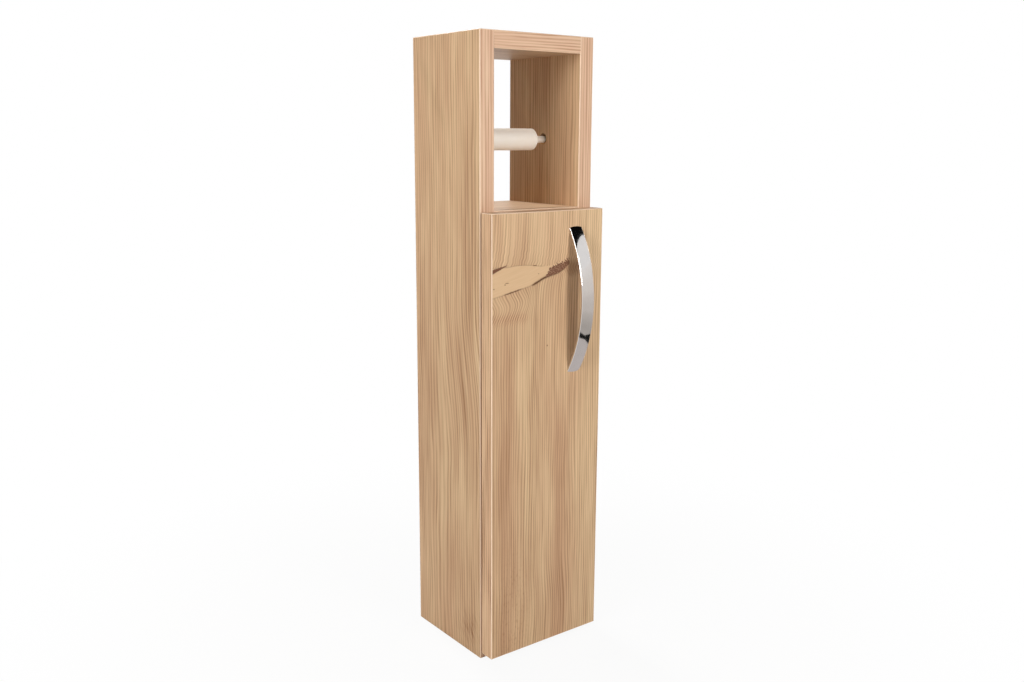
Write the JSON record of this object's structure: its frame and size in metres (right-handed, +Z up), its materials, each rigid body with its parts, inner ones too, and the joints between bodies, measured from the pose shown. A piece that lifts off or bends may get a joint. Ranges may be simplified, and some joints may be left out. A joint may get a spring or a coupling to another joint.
{
  "type": "toilet roll storage cabinet",
  "caption": "Tall narrow bathroom cabinet with an open niche and sprung roll holder above a storage compartment whose overlay door swings on concealed hinges.",
  "frame": {"origin": "middle of the carcass footprint, on the surface that it stands on", "axes": "+Z up, -Y towards the door and the user, +X to the user's right; the door is hinged at -X"},
  "size_m": [0.15, 0.1685, 0.675],
  "materials": {
    "wood_decor": "melamine facing with a light pine grain, satin",
    "edge_band": "thin banding in the facing's decor, satin",
    "back_board": "thin faced fibreboard, satin",
    "dowel_beech": "bare beech",
    "handle_chrome": "polished",
    "hinge_steel": "nickel-plated pressed steel, satin",
    "screw_steel": "zinc-plated",
    "spring_steel": "drawn spring steel",
    "cam_zinc": "die-cast zinc, matt",
    "cream_plastic": "moulded, smooth",
    "clear_buffer": "soft translucent bead"
  },
  "bodies": {
    "carcass": {"side_panel_left": "wood_decor", "side_panel_right": "wood_decor", "top_panel": "wood_decor", "niche_shelf": "wood_decor", "bottom_panel": "wood_decor", "back_panel": "back_board", "edge_bands_left": "edge_band", "edge_bands_right": "edge_band", "edge_bands_top": "edge_band", "edge_bands_shelf": "edge_band", "edge_band_bottom": "edge_band", "cam_housings": "cam_zinc", "cam_bolts": "screw_steel", "dowels": "dowel_beech", "mounting_plate_upper": "hinge_steel", "mounting_plate_lower": "hinge_steel", "plate_screws": "screw_steel", "hinge_arm_upper": "hinge_steel", "hinge_arm_lower": "hinge_steel", "arm_screws": "screw_steel"},
    "door": {"door_panel": "wood_decor", "door_edge_bands": "edge_band", "door_handle": "handle_chrome", "handle_screws": "screw_steel", "door_buffers": "clear_buffer", "hinge_cup_upper": "hinge_steel", "hinge_cup_lower": "hinge_steel", "hinge_pins": "screw_steel", "closing_springs": "spring_steel", "cup_screws": "screw_steel"},
    "holder": {"holder_tube": "cream_plastic", "holder_spring": "spring_steel"},
    "plunger": {"holder_plunger": "cream_plastic"}
  },
  "joints": [
    {"name": "door_swing", "type": "hinge", "parent": "carcass", "child": "door", "pos_m": [-0.06824, -0.07544, 0.2505], "axis": [0, 0, -1], "range_deg": [0, 95]},
    {"name": "holder_spin", "type": "hinge", "parent": "carcass", "child": "holder", "pos_m": [0, 0, 0.567], "axis": [1, 0, 0], "continuous": true},
    {"name": "plunger_slide", "type": "slide", "parent": "holder", "child": "plunger", "axis": [1, 0, 0], "range_m": [0, 0.009], "stiffness_N_per_m": 300, "springref_m": -0.01, "deforming": ["holder_spring"]}
  ]
}
